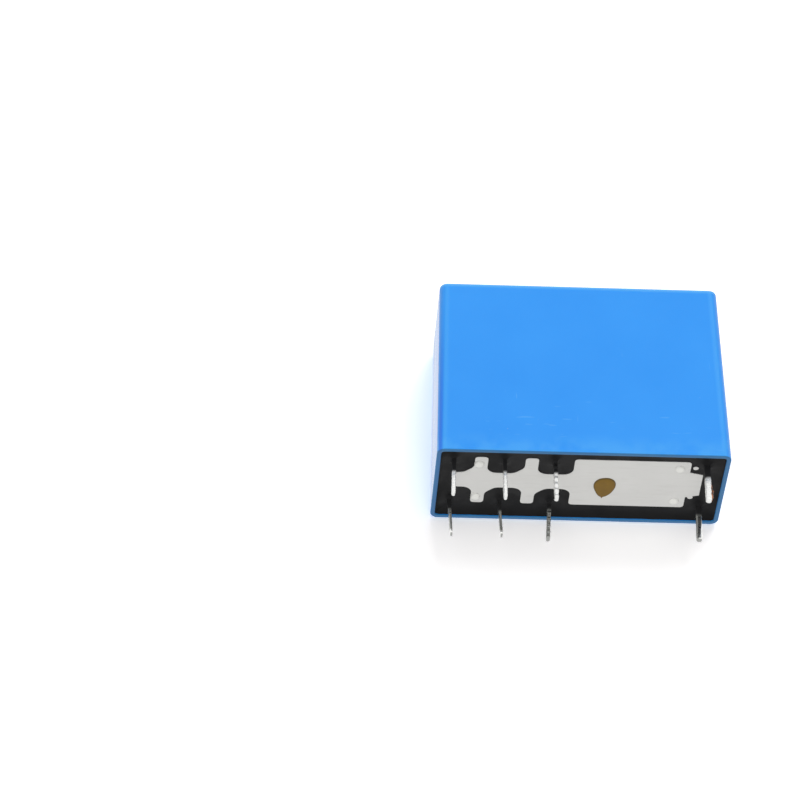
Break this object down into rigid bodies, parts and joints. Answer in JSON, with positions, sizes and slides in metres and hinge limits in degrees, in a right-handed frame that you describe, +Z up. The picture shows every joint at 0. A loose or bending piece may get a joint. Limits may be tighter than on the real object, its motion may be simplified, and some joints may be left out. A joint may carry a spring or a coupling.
{
  "type": "pcb power relay",
  "caption": "Sealed box relay with rows of solder pins underneath; its coil pulls a hinged armature, whose card moves contact springs between fixed contacts.",
  "frame": {"origin": "centre of the cover's rim, the plane that comes down on the circuit board", "axes": "+X along the length towards the coil pins, +Z up from the board to the roof, pins down"},
  "size_m": [0.029, 0.0124, 0.0245],
  "materials": {
    "cover_blue": "moulded, semi-gloss",
    "base_white": "moulded",
    "resin_black": "poured resin",
    "glue_brown": "set adhesive",
    "bobbin_ivory": "moulded",
    "card_ivory": "moulded",
    "winding_copper": "enamelled copper wire",
    "iron_plated": "plated",
    "rivet_steel": "plain",
    "spring_bronze": "rolled",
    "terminal_tinned": "hot tinned",
    "contact_silver": "silver alloy"
  },
  "bodies": {
    "housing": {"cover": "cover_blue", "base": "base_white", "sealing_resin": "resin_black", "glue_dab": "glue_brown", "bobbin": "bobbin_ivory", "coil_winding": "winding_copper", "core": "iron_plated", "yoke": "iron_plated", "com_terminal_a": "terminal_tinned", "com_terminal_b": "terminal_tinned", "spring_rivet_a": "rivet_steel", "spring_rivet_b": "rivet_steel", "make_terminal_a": "terminal_tinned", "make_terminal_b": "terminal_tinned", "make_contact_a": "contact_silver", "make_contact_b": "contact_silver", "break_terminal_a": "terminal_tinned", "break_terminal_b": "terminal_tinned", "break_contact_a": "contact_silver", "break_contact_b": "contact_silver", "coil_terminal_a": "terminal_tinned", "coil_terminal_b": "terminal_tinned"},
    "armature": {"armature": "iron_plated", "hinge_spring": "spring_bronze", "hinge_spring_rivet": "rivet_steel"},
    "card": {"actuator_card": "card_ivory"},
    "contact_a": {"moving_spring_a": "spring_bronze", "moving_contact_a": "contact_silver"},
    "contact_b": {"moving_spring_b": "spring_bronze", "moving_contact_b": "contact_silver"}
  },
  "joints": [
    {"name": "armature_pivot", "type": "hinge", "parent": "housing", "child": "armature", "pos_m": [0.00015, 0, 0.0027], "axis": [0, 1, 0], "range_deg": [0, 4.4], "stiffness_Nm_per_rad": 0.003, "springref_deg": -11.46, "deforming": ["hinge_spring"]},
    {"name": "card_slide", "type": "slide", "parent": "housing", "child": "card", "axis": [1, 0, 0], "range_m": [0, 0.00111]},
    {"name": "contact_a_flex", "type": "hinge", "parent": "housing", "child": "contact_a", "pos_m": [-0.0074, -0.00285, 0.0058], "axis": [0, 1, 0], "range_deg": [0, 5.61], "deforming": ["moving_spring_a"]},
    {"name": "contact_b_flex", "type": "hinge", "parent": "housing", "child": "contact_b", "pos_m": [-0.0074, 0.00285, 0.0058], "axis": [0, 1, 0], "range_deg": [0, 5.61], "deforming": ["moving_spring_b"]}
  ],
  "couplings": [
    {"joint": "card_slide", "follows": "armature_pivot", "m_per_rad": 0.0144},
    {"joint": "contact_a_flex", "follows": "armature_pivot", "ratio": 1.2743},
    {"joint": "contact_b_flex", "follows": "armature_pivot", "ratio": 1.2743}
  ]
}
